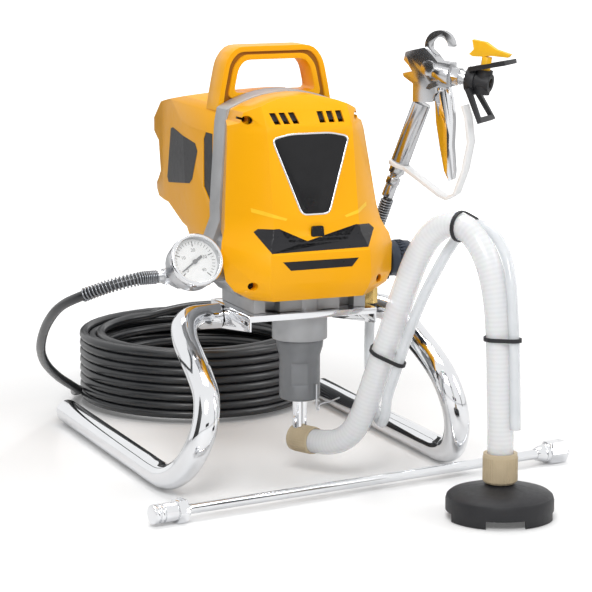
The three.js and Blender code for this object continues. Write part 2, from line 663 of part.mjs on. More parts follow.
// The suction hose lies in the upright plane from the pump to the foot: x runs along it.
const suctionReach = Math.hypot(footX, footY - pumpY);
const couplingEnd = 20;
const hoseStart = 7.7;
const hoseTop = 44;              // lower end of the hose over the foot's neck
const suctionPath = [
  [hoseStart, 0, suctionHeight], [22, 0, suctionHeight], [38, 0, 36], [54, 0, 41], [68, 0, 51], [80, 0, 68],
  [90, 0, 90], [102, 0, 120], [119, 0, 162], [135, 0, 202], [148, 0, 230], [163, 0, 251], [178, 0, 262],
  [192, 0, 265.5], [207, 0, 262], [221, 0, 251], [232, 0, 234], [239, 0, 214], [243.5, 0, 190],
  [246, 0, 160], [248, 0, 110], [249.1, 0, 75], [249.1, 0, hoseTop + gap],
];
const returnPath = [
  [30.6, 69, returnHeight], [31, 68, 122], [38, 61, 96], [53, 47, 76], [74, 29, 64], [94, 14, 62], [107, 4, 74],
  [113, 0, 92], [123, 0, 118], [139, 0, 158], [153, 1.5, 190], [165, 7, 217], [177, 14, 242], [190, 18, 259],
  [205, 18.2, 264.5], [221, 15, 262], [236, 12, 252], [249, 7.5, 235], [257, 3, 214], [261, 0.5, 190],
  [263.5, 0, 160], [265, 0, 120], [266, 0, 84],
];
const ties = [
  { name: 'cable_tie_lower', hose: [108, 0, 134.5], tube: [126.5, 0, 127], lean: 22, slack: 0.8 },
  { name: 'cable_tie_top', hose: [200, 0, 264.4], tube: [200, 18.4, 263.7], lean: 92, slack: 1.3 },
  { name: 'cable_tie_right', hose: [245.5, 0, 166], tube: [263.1, 0, 166.5], lean: -2, slack: 0.8 },
];

function ring3(centre, radius, lean, half) {
  const tip = (lean * Math.PI) / 180;
  const axis = [Math.sin(tip), 0, Math.cos(tip)];
  const side = [Math.cos(tip), 0, -Math.sin(tip)];
  return [-half, half].flatMap((shift) => circle(radius, 20).map(([a, b]) => [
    centre[0] + axis[0] * shift + side[0] * a, centre[1] + b, centre[2] + axis[2] * shift + side[2] * a,
  ]));
}

function suctionParts() {
  const suction = new THREE.Group();
  suction.position.set(0, pumpY, 0);
  suction.rotation.z = Math.atan2(footY - pumpY, footX);
  part.add(suction);

  const pipe = rod(pipeRadius, suctionHeight + 2, bodyBottom + 8.5, 20);
  piece('inlet_pipe', pipe, chrome, suction);
  const couplingProfile = [
    [0, -8], [11, -8], [13.2, -6], [13.2, couplingEnd], [suctionHoseRadius + gap, couplingEnd],
    [suctionHoseRadius + gap, hoseStart - gap], [0, hoseStart - gap],
  ];
  const coupling = alongX(turned(couplingProfile, 24)).translate([0, 0, suctionHeight]);
  const pipeHole = rod(pipeRadius + gap, suctionHeight + 2 - gap, suctionHeight + 20, 20);
  piece('inlet_coupling', cut(coupling, pipeHole), beigePlastic, suction);
  cordPiece('suction_hose', sweep(curveThrough(suctionPath), suctionHoseRadius, 60, 12), clearHose, suction);
  cordPiece('return_tube', sweep(curveThrough(returnPath), returnTubeRadius, 60, 8), clearHose, suction);
  for (const { name, hose, tube, lean, slack } of ties) {
    const around = (extra, half) => hull([
      ...ring3(hose, suctionHoseRadius + extra, lean, half), ...ring3(tube, returnTubeRadius + extra, lean, half),
    ]);
    cordPiece(name, cut(around(slack + 1.3, 1.8), around(slack, 3)), blackPlastic, suction);
  }

  const clip = curveThrough([
    [10, -21, 91], [10, -21.2, 84], [10, -21.4, 74], [10.5, -21, 66], [12, -20.8, 65], [13, -21, 70], [14, -21, 71],
    [24, -22, 73], [34, -22, 76],
  ]);
  piece('hairpin_clip', sweep(clip, 0.8, 32, 6), steel);

  const nut = [[suctionHoseRadius + gap, footNutHeight + 3], [suctionHoseRadius + gap, footNutHeight + 30],
    [15.8, footNutHeight + 30], [15.8, footNutHeight + 4], [14, footNutHeight + 2], [12.6, footNutHeight + 2]];
  piece('foot_nut', turned(nut, 24).translate([suctionReach, 0, 0]), beigePlastic, suction);
  const foot = turned([
    [0, hoseTop], [11.4, hoseTop], [11.4, footNutHeight + 1], [16, footNutHeight], [34, 26.5], [46, 23], [49, 20.5],
    [footRadius, 17], [footRadius, 0], [footRadius - 3.5, 0], [footRadius - 3.5, 16], [34, 22], [0, 24],
  ], 48);
  const gaps = [0, 1, 2, 3].map((i) => (
    box(-18, 18, 20, 70, -1, footLug).rotate([0, 0, 45 + i * 90])
  ));
  piece('strainer_foot', cut(foot, ...gaps).translate([suctionReach, 0, 0]), blackPlastic, suction);
}

// ---------------------------------------------------------------- paint hose

const leadPath = [
  [-143, outletY, outletHeight], [-160, outletY, outletHeight - 0.4], [-190, 15, 194.5], [-212, 31, 184], [-223, 58, 171],
  [-225, 98, 148], [-217, 150, 116], [-196, 210, 86], [-161, 280, 54], [-131, 330, 32], [-114.5, 358.5, 20],
];
const riserPath = [
  [118, 392, coilStack + gap + paintHoseRadius], [125, 350, 93], [126, 300, 110], [123, 250, 141], [118, 205, 169],
  [111, 160, 181], [104.5, 115, 185], [102, 88, 191], [104.5, 71, 204], [109, 64.7, 221.4], [114, 59.4, 240.5],
  [118.8, 54.2, 259.6],
];

function paintHoseParts() {
  cordPiece('hose_lead', sweep(curveThrough(leadPath), paintHoseRadius, 40, 10), rubber);
  cordPiece('hose_riser', sweep(curveThrough(riserPath), paintHoseRadius, 48, 10), rubber);
  const coil = turned([[coilBore, 0], [coilRadius, 0], [coilRadius, coilStack], [coilBore, coilStack]], 48);
  cordPiece('hose_coil', coil.translate([coilX, coilY, 0]), rubber);
  const bore = paintHoseRadius + 2 * gap;
  const onLead = stretch(curveThrough(leadPath), 0, 0.29);
  const onRiser = (from, to) => stretch(curveThrough(riserPath), from, to);
  cordPiece('lead_spring', sweep(onLead, springRadius, 12, 12, bore), steel);
  cordPiece('gun_spring', sweep(onRiser(0.82, 0.998), springRadius, 8, 12, bore), steel);
  const arm = box(housingHalf + gap, 103, 55, 60.5, 198, 210);
  const clip = cut(join(arm, sweep(onRiser(0.69, 0.8), 8.2, 4, 16)), sweep(onRiser(0.6, 0.9), bore, 12, 16));
  piece('hose_clip', clip, blackPlastic);
}

// ---------------------------------------------------------------- spray gun

// In the gun's own frame x runs forward from the foot of the handle, z up, y to its far side.
const gripTop = [gripLength * Math.sin(gripLean) + 0.2, 2 + gripLength * Math.cos(gripLean)];
const headOutline = [
  [17, 64], [36, 64], [40, 72], [47, 78], [56, 80], [56, 103], [43, 104], [38, 110], [29, 118], [16, 115], [9, 113],
  [7, 105], [12, 100], [16, 94], [6, 92], [7, 88.5], [17, 82],
];
const triggerOutline = [
  [38.5, 80], [52, 83], [56.5, 66], [58.5, 46], [57.5, 22], [59.5, -4], [58.5, -12], [53.5, -14], [48.5, -4], [44, 18],
  [39.5, 44], [38, 68],
];
const triggerPivot = [45, 77];
const guardLine = [[68.5, 62], [72.5, 50], [75.5, 26], [70, -2], [61, -26], [52, -31.5], [44, -28], [6.4, -2.9]];

function gunParts() {
  const gun = new THREE.Group();
  gun.position.set(...gunPlace);
  gun.rotation.z = gunTurn;
  part.add(gun);
  const lean = (body) => body.rotate([0, degrees(gripLean), 0]).translate([0, 0, 2]);
  const barrel = (body) => alongX(body).rotate([0, degrees(barrelDip), 0]).translate([barrelPlace[0], 0, barrelPlace[1]]);

  const hook = cut(
    slabY(circle(15.5, 28).map(([x, z]) => [x + 42.5, z + 119.3]), -3.5, 3.5),
    slabY(circle(8.8, 24).map(([x, z]) => [x + 42.5, z + 119.3]), -5, 5),
    slabY([[36, 100], [80, 100], [80, 119], [52, 119], [44, 121]], -5, 5),
  );
  const pivotSlot = slabY([[34.5, 60], [70, 60], [70, 86.5], [36, 86.5]], -4.4, 4.4);
  const body = join(
    lean(rod(gripRadius, 0, gripLength + 4, 20)),
    slabY(headOutline, -9.5, 9.5),
    hook,
    barrel(rod(barrelRadius, -12, 4, 24)),
    barrel(rod(9.5, 3, 14, 6)),
    barrel(rod(7.5, 13, 21.7, 20)),
    slabY([[54, 80], [60, 80], [73, 60], [66, 57]].reverse(), -4, 4),
    slabY(circle(7.5, 20).map(([x, z]) => [x + 33.5, z + 98]), -11.5, 11.5),
  );
  const armSlot = slabY([[60, 68], [78, 68], [78, 40], [60, 40]].reverse(), -9, 9);
  const pivotHole = slabY(circle(2 + gap, 12).map(([x, z]) => [x + triggerPivot[0], z + triggerPivot[1]]), -20, 20);
  piece('gun_body', cut(body, pivotSlot, pivotHole, armSlot), chrome, gun);

  const pin = slabY(circle(2, 12).map(([x, z]) => [x + triggerPivot[0], z + triggerPivot[1]]), -9, 9);
  piece('gun_trigger', join(slabY(triggerOutline, -4, 4), pin), chrome, gun);

  const strap = (half) => {
    const side = (sign) => guardLine.map(([x, z], i) => {
      const [a, b] = [guardLine[Math.max(i - 1, 0)], guardLine[Math.min(i + 1, guardLine.length - 1)]];
      const length = Math.hypot(b[0] - a[0], b[1] - a[1]);
      return [x - sign * half * (b[1] - a[1]) / length, z + sign * half * (b[0] - a[0]) / length];
    });
    return [...side(1), ...side(-1).reverse()];
  };
  const guard = join(slabY(strap(1.6), -8, 8), lean(rod(gripRadius + 1.6, -4.4, -gap, 20)));
  piece('gun_guard', cut(guard, lean(rod(6 + gap, -6, 1, 16))), whitePlastic, gun);

  const swivel = join(rod(6, -14, -0.6, 16), rod(8, -12, -4.9, 6), rod(5, -26, -13, 16), rod(7, -24, -17, 6),
    rod(6, -37.6, -25, 16));
  piece('gun_swivel', lean(swivel), steel, gun);
  const lock = slabY([[32, 78], [36, 77], [44, 81], [43, 85], [35, 82.5]], -12.6, -9.8);
  piece('gun_lock', lock, steel, gun);

  const frameLoop = (from, to, lengthways, narrow, wide, thick, lift) => cut(
    slabZ([[from, -narrow], [from + lengthways, -wide], [from + lengthways, wide], [from, narrow]], 0, thick),
    slabZ([[from + 7, 5 - narrow], [from + lengthways - 5, 5 - wide], [from + lengthways - 5, wide - 5],
      [from + 7, narrow - 5]], -1, thick + 1),
  ).rotate([0, to, 0]).translate([24, 0, lift]);
  const hub = cut(
    join(
      alongX(rod(barrelRadius, 22, 31, 24)),
      alongX(rod(9, 30, 46, 20)),
      rod(8, -12, 12, 16).translate([38, 0, 0]),
      frameLoop(2, -20, 40, 13, 17, 4.5, 8),
      frameLoop(2, 54, 36, 13, 20, 4.5, -8),
    ),
    alongX(rod(5, 20, 50, 16)),
    rod(5 + gap, -20, 20, 16).translate([38, 0, 0]),
  );
  const onBarrel = (body) => body.rotate([0, degrees(barrelDip), 0]).translate([barrelPlace[0], 0, barrelPlace[1]]);
  piece('tip_guard', onBarrel(hub), blackPlastic, gun);
  const flagOutline = [[-17, 39], [-3, 39], [8, 34], [24, 32], [22, 28.5], [5, 27], [-4, 24.5], [-14, 23], [-18, 24.5],
    [-14, 30]];
  const tip = join(
    rod(5, -11, 25, 16).translate([38, 0, 0]),
    slabY([...flagOutline].reverse().map(([x, z]) => [x + 38, z]), -3.5, 3.5),
  );
  piece('spray_tip', onBarrel(cut(tip, alongX(rod(1.2, 20, 60, 8)))), orangePlastic, gun);
}

// ---------------------------------------------------------------- extension lance

function lanceParts() {
  const lance = new THREE.Group();
  lance.position.set(30, -99.5, lanceHeight);
  lance.rotation.z = Math.atan2(84, 465);
  part.add(lance);
  const half = lanceLength / 2;
  const tube = join(
    rod(lanceRadius, -half + 10, half - 22.5, 16),
    rod(12.2, -half + 24, -half + 34, 6),
    rod(9, -half, -half + 25, 20),
    rod(6.5, -half + 33, -half + 38, 16),
    turned([[0, half - 34], [6, half - 34], [9, half - 24.5], [0, half - 24.5]], 16),
    rod(7, half - 25, half - 2, 16),
  );
  const groove = turned([[7.8, -half + 4], [12, -half + 4], [12, -half + 6], [7.8, -half + 6]], 20);
  piece('lance_tube', alongX(cut(tube, groove, groove.translate([0, 0, 5]))), chrome, lance);
  const nut = cut(
    join(rod(12.2, half - 20, half, 6), rod(9, half - 24, half - 19, 20)),
    rod(7 + gap, half - 30, half - 2 + gap, 16),
  );
  piece('lance_nut', alongX(nut), chrome, lance);
}

coverParts();
piece('carry_handle', carryHandle(), yellowPlastic);
controlParts();
gaugeParts();
standParts();
pumpParts();
suctionParts();
paintHoseParts();
gunParts();
lanceParts();

// The part's origin is under the middle of everything but its hoses, on the floor.
part.updateMatrixWorld(true);
const extent = new THREE.Box3();
part.traverse((node) => {
  if (node.isMesh && !cordNodes.has(node)) extent.expandByObject(node, true);
});
const middle = extent.getCenter(new THREE.Vector3());
for (const child of part.children) child.position.sub(new THREE.Vector3(middle.x, middle.y, extent.min.z));

export default part;
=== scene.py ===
import json
import math

import bmesh
import bpy
from mathutils import Matrix, Vector
from mathutils.bvhtree import BVHTree


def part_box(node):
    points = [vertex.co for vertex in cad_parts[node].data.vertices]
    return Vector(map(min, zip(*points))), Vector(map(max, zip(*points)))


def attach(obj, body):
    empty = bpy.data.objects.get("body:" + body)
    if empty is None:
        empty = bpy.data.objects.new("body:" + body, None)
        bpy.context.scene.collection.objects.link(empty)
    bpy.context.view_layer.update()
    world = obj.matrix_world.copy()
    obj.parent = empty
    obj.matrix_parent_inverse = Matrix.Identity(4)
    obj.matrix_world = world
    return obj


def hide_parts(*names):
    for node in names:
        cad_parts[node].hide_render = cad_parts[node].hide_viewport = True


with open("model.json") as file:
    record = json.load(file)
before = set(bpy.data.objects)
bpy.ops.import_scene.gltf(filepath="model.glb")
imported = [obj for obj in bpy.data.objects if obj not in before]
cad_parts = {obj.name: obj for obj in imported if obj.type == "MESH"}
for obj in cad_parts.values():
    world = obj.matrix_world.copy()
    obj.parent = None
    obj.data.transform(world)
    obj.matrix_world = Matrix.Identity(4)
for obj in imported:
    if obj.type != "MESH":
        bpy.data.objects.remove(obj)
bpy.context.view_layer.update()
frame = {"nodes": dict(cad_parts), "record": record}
nodes = frame["nodes"]
scene = bpy.context.scene

# The pump stands over x = 0, y = -2 mm in the machine's own measures.
pumpLow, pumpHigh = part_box("pump_throat")
machineZero = Vector(((pumpLow.x + pumpHigh.x) / 2, (pumpLow.y + pumpHigh.y) / 2 + 0.002, 0))
bodyOf = {node: body for body, members in frame["record"]["behaviour"]["bodies"].items() for node in members}


def place(x, y, z):  # millimetres in the machine's measures to metres in the part's
    return Vector((x, y, z)) / 1000 + machineZero


# camera, light and floor

cameraSetup = {"place": (-938.955, -2306.528, 619.046), "pitch": 10.10118, "yaw": 22.087094, "lens": 158.1}


def addCamera():
    data = bpy.data.cameras.new("camera")
    data.sensor_width = 36
    data.lens = cameraSetup["lens"]
    data.clip_end = 20
    camera = bpy.data.objects.new("camera", data)
    camera.location = place(*cameraSetup["place"])
    camera.rotation_euler = (
        math.radians(90 - cameraSetup["pitch"]), 0, -math.radians(cameraSetup["yaw"]))
    scene.collection.objects.link(camera)
    scene.camera = camera
    scene.view_settings.view_transform = "Standard"


lamps = {
    "key": {"from": (-700, -1500, 1500), "size": 700, "power": 22},
    "side": {"from": (1500, -700, 900), "size": 700, "power": 6},
    "top": {"from": (100, 300, 1900), "size": 1000, "power": 17},
}
cards = {  # dark boards out of view, for the bright metal to mirror
    "left": {"at": (-1300, -300, 300), "size": (900, 1300), "turn": 78},
    "right": {"at": (1000, -800, 260), "size": (600, 1000), "turn": -50},
    "front": {"at": (-250, -3100, 420), "size": (1300, 420), "turn": 0},
    "back": {"at": (300, 1500, 260), "size": (900, 420), "turn": 0},
}


def addLamps():
    target = place(0, 0, 180)
    for name, lamp in lamps.items():
        data = bpy.data.lights.new(name, "AREA")
        data.size = lamp["size"] / 1000
        data.energy = lamp["power"]
        light = bpy.data.objects.new(name, data)
        light.location = place(*lamp["from"])
        light.rotation_euler = (target - light.location).to_track_quat("-Z", "Y").to_euler()
        scene.collection.objects.link(light)


def addWorld():
    world = bpy.data.worlds.new("studio")
    scene.world = world
    world.use_nodes = True
    tree = world.node_tree
    background = tree.nodes["Background"]
    background.inputs["Color"].default_value = (1, 1, 1, 1)
    path = tree.nodes.new("ShaderNodeLightPath")
    seen = tree.nodes.new("ShaderNodeMath")
    seen.operation = "MAXIMUM"
    tree.links.new(path.outputs["Is Camera Ray"], seen.inputs[0])
    tree.links.new(path.outputs["Is Glossy Ray"], seen.inputs[1])
    through = tree.nodes.new("ShaderNodeMath")
    through.operation = "MAXIMUM"
    tree.links.new(seen.outputs[0], through.inputs[0])
    tree.links.new(path.outputs["Is Transmission Ray"], through.inputs[1])
    level = tree.nodes.new("ShaderNodeMath")
    level.operation = "MULTIPLY_ADD"
    level.inputs[1].default_value = 0.6
    level.inputs[2].default_value = 0.4
    tree.links.new(through.outputs[0], level.inputs[0])
    tree.links.new(level.outputs[0], background.inputs["Strength"])


def flatBoard(name, width, height):
    mesh = bpy.data.meshes.new(name)
    corners = [(-width, -height, 0), (width, -height, 0), (width, height, 0), (-width, height, 0)]
    mesh.from_pydata([(x / 2000, y / 2000, 0) for x, y, _ in corners], [], [(0, 1, 2, 3)])
    board = bpy.data.objects.new(name, mesh)
    scene.collection.objects.link(board)
    return board


def addFloor():
    floor = flatBoard("floor", 16000, 16000)
    floor.location = place(0, 0, -0.6)
    finish = bpy.data.materials.new("paleFloor")
    finish.use_nodes = True
    tree = finish.node_tree
    shader = tree.nodes["Principled BSDF"]
    shader.inputs["Base Color"].default_value = (0.86, 0.86, 0.86, 1)
    shader.inputs["Roughness"].default_value = 0.5
    shader.inputs["Specular IOR Level"].default_value = 0.15
    shader.inputs["Emission Color"].default_value = (1, 1, 1, 1)
    where = tree.nodes.new("ShaderNodeTexCoord")
    away = tree.nodes.new("ShaderNodeVectorMath")
    away.operation = "LENGTH"
    tree.links.new(where.outputs["Object"], away.inputs[0])
    glow = tree.nodes.new("ShaderNodeMapRange")  # the floor turns white away from the machine
    for name, value in {"From Min": 0.45, "From Max": 1.6, "To Min": 0.12, "To Max": 0.9}.items():
        glow.inputs[name].default_value = value
    tree.links.new(away.outputs["Value"], glow.inputs["Value"])
    path = tree.nodes.new("ShaderNodeLightPath")
    seen = tree.nodes.new("ShaderNodeMath")
    seen.operation = "MAXIMUM"
    tree.links.new(path.outputs["Is Camera Ray"], seen.inputs[0])
    tree.links.new(path.outputs["Is Transmission Ray"], seen.inputs[1])
    lift = tree.nodes.new("ShaderNodeMath")
    lift.operation = "MULTIPLY"
    tree.links.new(glow.outputs[0], lift.inputs[1])
    tree.links.new(seen.outputs[0], lift.inputs[0])
    tree.links.new(lift.outputs[0], shader.inputs["Emission Strength"])
    floor.data.materials.append(finish)


def addCards():
    dark = bpy.data.materials.new("darkBoard")
    dark.use_nodes = True
    dark.node_tree.nodes["Principled BSDF"].inputs["Base Color"].default_value = (0.01, 0.01, 0.01, 1)
    for name, card in cards.items():
        board = flatBoard(name + "Board", *card["size"])
        board.location = place(*card["at"])
        board.rotation_euler = (math.radians(90), 0, math.radians(card["turn"]))
        board.data.materials.append(dark)
        board.visible_camera = False
        board.visible_diffuse = False
        board.visible_shadow = False
        board.visible_transmission = False


addCamera()
addLamps()
addWorld()
addFloor()
addCards()
print("camera and studio")


# shader helpers

class Signal:  # a node's output that adds, multiplies and compares as a number does
    def __init__(self, finish, socket):
        self.finish = finish
        self.socket = socket

    def maths(self, operation, first, second):
        return self.finish.node("ShaderNodeMath", {"operation": operation}, {0: first, 1: second})

    def __add__(self, other):
        return self.maths("ADD", self, other)

    def __mul__(self, other):
        return self.maths("MULTIPLY", self, other)

    __radd__ = __add__
    __rmul__ = __mul__


class Finish:  # a material and its main shader
    def __init__(self, name, colour, roughness, metallic=0.0):
        self.material = bpy.data.materials.new(name)
        self.material.use_nodes = True
        self.tree = self.material.node_tree
        self.shader = self.tree.nodes["Principled BSDF"]
        self.set("Base Color", (*colour, 1))
        self.set("Roughness", roughness)
        self.set("Metallic", metallic)
        self.where = self.node("ShaderNodeTexCoord", {}, {}, "Object")

    def plug(self, socket, value):
        if isinstance(value, Signal):
            self.tree.links.new(value.socket, socket)
        else:
            socket.default_value = value

    def set(self, name, value):
        self.plug(self.shader.inputs[name], value)

    def node(self, kind, settings, sockets, output=0):
        made = self.tree.nodes.new(kind)
        for name, value in settings.items():
            if name == "stops":
                for element, (at, colour) in zip(made.color_ramp.elements, value):
                    element.position = at
                    element.color = (*colour, 1)
            else:
                setattr(made, name, value)
        for name, value in sockets.items():
            self.plug(made.inputs[name], value)
        return Signal(self, made.outputs[output])

    def noise(self, scale, detail=3.0):
        return self.node("ShaderNodeTexNoise", {}, {"Vector": self.where, "Scale": scale, "Detail": detail})

    def blend(self, share, first, second):
        return self.node(
            "ShaderNodeMix", {"data_type": "RGBA"},
            {"Factor": share, 6: (*first, 1) if isinstance(first, tuple) else first,
             7: (*second, 1) if isinstance(second, tuple) else second}, 2)

    def between(self, value, low, high):  # low to high as value goes from 0 to 1
        return value * (high - low) + low

    def bump(self, height, strength, distance):
        self.set("Normal", self.node(
            "ShaderNodeBump", {}, {"Height": height, "Strength": strength, "Distance": distance}))


def paintFinish():
    finish = Finish("yellowCover", (0.92, 0.42, 0.003), 0.36)
    broad = finish.noise(9.0, 2.0)
    fine = finish.noise(900.0, 2.0)
    colour = finish.blend(broad, (0.87, 0.37, 0.0005), (0.95, 0.45, 0.001))
    finish.set("Base Color", colour)
    finish.set("Roughness", finish.between(finish.noise(140.0), 0.26, 0.44))
    finish.bump(fine, 0.08, 0.0006)
    finish.set("Specular IOR Level", 0.22)
    finish.set("Coat Weight", 0.1)
    finish.set("Coat Roughness", 0.12)
    return finish


def mouldedFinish(name, colour, roughness, grain=1400.0):
    finish = Finish(name, colour, roughness)
    lighter = tuple(min(1.0, value * 1.35 + 0.004) for value in colour)
    finish.set("Base Color", finish.blend(finish.noise(60.0), colour, lighter))
    finish.set("Roughness", finish.between(finish.noise(220.0), roughness - 0.08, roughness + 0.1))
    finish.bump(finish.noise(grain, 1.0), 0.15, 0.0004)
    finish.set("Specular IOR Level", 0.3)
    return finish


def castFinish(name, colour):
    finish = Finish(name, colour, 0.45, 0.55)
    darker, lighter = (tuple(value * share for value in colour) for share in (0.8, 1.18))
    finish.set("Base Color", finish.blend(finish.noise(35.0), darker, lighter))
    finish.set("Roughness", finish.between(finish.noise(180.0), 0.36, 0.56))
    finish.bump(finish.noise(1100.0, 4.0), 0.35, 0.0005)
    return finish


def metalFinish(name, colour, roughness, wear, metallic=1.0):
    finish = Finish(name, colour, roughness, metallic)
    darker = tuple(value * 0.86 for value in colour)
    finish.set("Base Color", finish.blend(finish.noise(22.0), darker, colour))
    finish.set("Roughness", finish.between(finish.noise(75.0, 5.0), roughness, roughness + wear))
    return finish


def turnedFinish(name, colour, roughness):
    finish = metalFinish(name, colour, roughness, 0.12)
    stretched = finish.node(
        "ShaderNodeMapping", {}, {"Vector": finish.where, "Scale": (900.0, 900.0, 60.0)})
    lines = finish.node("ShaderNodeTexNoise", {}, {"Vector": stretched, "Scale": 1.0, "Detail": 2.0})
    finish.bump(lines, 0.12, 0.0003)
    return finish


def hoseFinish(name, colour, roughness):  # UV: round the hose, and metres along it
    finish = Finish(name, colour, roughness)
    finish.set("Roughness", finish.between(finish.noise(90.0), roughness - 0.06, roughness + 0.12))
    finish.set("Base Color", finish.blend(
        finish.noise(45.0), colour, tuple(min(1.0, value * 1.5 + 0.006) for value in colour)))
    finish.set("Coat Weight", 0.3)
    finish.set("Coat Roughness", 0.2)
    return finish


def clearHoseFinish():
    finish = Finish("suctionHoseWall", (0.86, 0.88, 0.9), 0.22)
    along = finish.node("ShaderNodeSeparateXYZ", {}, {0: finish.node("ShaderNodeTexCoord", {}, {}, "UV")}, 1)
    wave = finish.node("ShaderNodeMath", {"operation": "SINE"}, {0: along * (2 * math.pi / 0.0042)})
    rib = wave * 0.5 + 0.5
    finish.set("Base Color", finish.blend(rib, (0.915, 0.92, 0.935), (0.93, 0.935, 0.95)))
    finish.set("Roughness", finish.between(finish.noise(120.0), 0.16, 0.3))
    finish.set("Alpha", finish.between(rib, 0.55, 0.57))
    finish.bump(rib, 0.006, 0.0001)
    finish.set("Coat Weight", 0.4)
    finish.set("Coat Roughness", 0.08)
    finish.set("Subsurface Weight", 0.15)
    finish.set("Subsurface Scale", 0.004)
    return finish


def clearTubeFinish():
    finish = Finish("returnTubeWall", (0.84, 0.87, 0.89), 0.14)
    finish.set("Base Color", finish.blend(finish.noise(70.0), (0.78, 0.81, 0.84), (0.9, 0.92, 0.94)))
    finish.set("Roughness", finish.between(finish.noise(120.0), 0.1, 0.22))
    finish.set("Alpha", finish.between(finish.noise(50.0), 0.5, 0.62))
    finish.set("Coat Weight", 0.5)
    finish.set("Coat Roughness", 0.05)
    return finish


def lensFinish():
    finish = Finish("gaugeWindow", (0.95, 0.97, 0.98), 0.03)
    finish.set("Roughness", finish.between(finish.noise(60.0), 0.02, 0.06))
    finish.set("Alpha", finish.between(finish.noise(30.0), 0.1, 0.14))
    return finish


paint = paintFinish()
castMetal = castFinish("castMetal", (0.42, 0.425, 0.435))
pumpMetal = castFinish("pumpCasting", (0.2, 0.206, 0.215))
chrome = metalFinish("brightChrome", (0.88, 0.89, 0.91), 0.035, 0.07)
gunMetal = metalFinish("gunCasting", (0.6, 0.605, 0.62), 0.1, 0.14)
satinSteel = turnedFinish("turnedSteel", (0.62, 0.63, 0.65), 0.24)
springSteel = metalFinish("springWire", (0.3, 0.31, 0.33), 0.22, 0.12)
brass = turnedFinish("turnedBrass", (0.78, 0.55, 0.2), 0.2)
blackMoulding = mouldedFinish("blackMoulding", (0.018, 0.018, 0.02), 0.48)
knobMoulding = mouldedFinish("knobMoulding", (0.022, 0.03, 0.045), 0.42)
blackGloss = mouldedFinish("blackPanel", (0.006, 0.006, 0.007), 0.14)
blackPrint = mouldedFinish("printedBand", (0.010, 0.010, 0.012), 0.3)
# lighter yellow painted highlight for the lit cover facets beside the front badge
facetHighlight = mouldedFinish("paintedFacetHighlight", (0.95, 0.5, 0.02), 0.34)
beigeMoulding = mouldedFinish("beigeCoupling", (0.44, 0.36, 0.24), 0.4)
orangeMoulding = mouldedFinish("tipHandle", (0.9, 0.44, 0.012), 0.34)
whiteMoulding = mouldedFinish("handGuard", (0.78, 0.79, 0.8), 0.36)
dialWhite = mouldedFinish("dialFace", (0.82, 0.82, 0.8), 0.5)
dialInk = mouldedFinish("dialInk", (0.015, 0.015, 0.015), 0.5)
# dark brown painted shade for the sunk front channel of the carry handle
channelShade = mouldedFinish("handleChannelPaintedShade", (0.26, 0.105, 0.004), 0.5)
hoseJacket = hoseFinish("paintHoseJacket", (0.010, 0.011, 0.013), 0.3)
suctionWall = clearHoseFinish()
returnWall = clearTubeFinish()
window = lensFinish()

nodeFinishes = [
    (paint, ["front_cover", "rear_cover", "carry_handle"]),
    (blackMoulding, [
        "right_vent_panel", "left_vent_panel", "vent_baffle", "cable_gland", "return_nut", "motor",
        "cable_tie_lower", "cable_tie_top", "cable_tie_right", "strainer_foot", "hose_clip",
        "gauge_needle", "cover_screw_top_left", "cover_screw_top_right", "cover_screw_bottom_left",
        "cover_screw_bottom_right", "power_switch", "tip_guard"]),
    (knobMoulding, ["pressure_knob"]),
    (blackGloss, ["badge_panel", "oiler_plug"]),
    (castMetal, ["drive_housing", "pump_throat", "outlet_manifold"]),
    (pumpMetal, ["pump_body"]),
    (chrome, [
        "base_plate", "left_leg", "right_leg", "inlet_pipe", "gauge_bezel", "gun_trigger",
        "lance_tube", "lance_nut"]),
    (gunMetal, ["gun_body", "gun_swivel", "gun_lock"]),
    (satinSteel, [
        "gauge_case", "outlet_nut", "left_leg_bolt", "right_leg_bolt", "piston_rod", "crank_gear",
        "motor_rotor", "hairpin_clip"]),
    (springSteel, ["lead_spring", "gun_spring"]),
    (brass, ["return_fitting"]),
    (hoseJacket, ["hose_lead", "hose_coil", "hose_riser"]),
    (suctionWall, ["suction_hose"]),
    (returnWall, ["return_tube"]),
    (beigeMoulding, ["inlet_coupling", "foot_nut"]),
    (orangeMoulding, ["spray_tip"]),
    (whiteMoulding, ["gun_guard"]),
    (window, ["gauge_lens"]),
]
for finish, names in nodeFinishes:
    for name in names:
        data = nodes[name].data
        data.materials.clear()
        data.materials.append(finish.material)


# mesh helpers

def addPiece(name, points, faces, finish, body, smooth=True, uvs=None):
    mesh = bpy.data.meshes.new(name)
    mesh.from_pydata([tuple(point) for point in points], [], faces)
    if uvs:
        layer = mesh.uv_layers.new(name="UVMap")
        for loop in mesh.loops:
            layer.data[loop.index].uv = (0, 0)
        index = 0
        for corners in uvs:
            for corner in corners:
                layer.data[index].uv = corner
                index += 1
    mesh.polygons.foreach_set("use_smooth", [smooth] * len(mesh.polygons))
    mesh.update()
    piece = bpy.data.objects.new(name, mesh)
    scene.collection.objects.link(piece)
    mesh.materials.append(finish.material)
    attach(piece, body)
    return piece


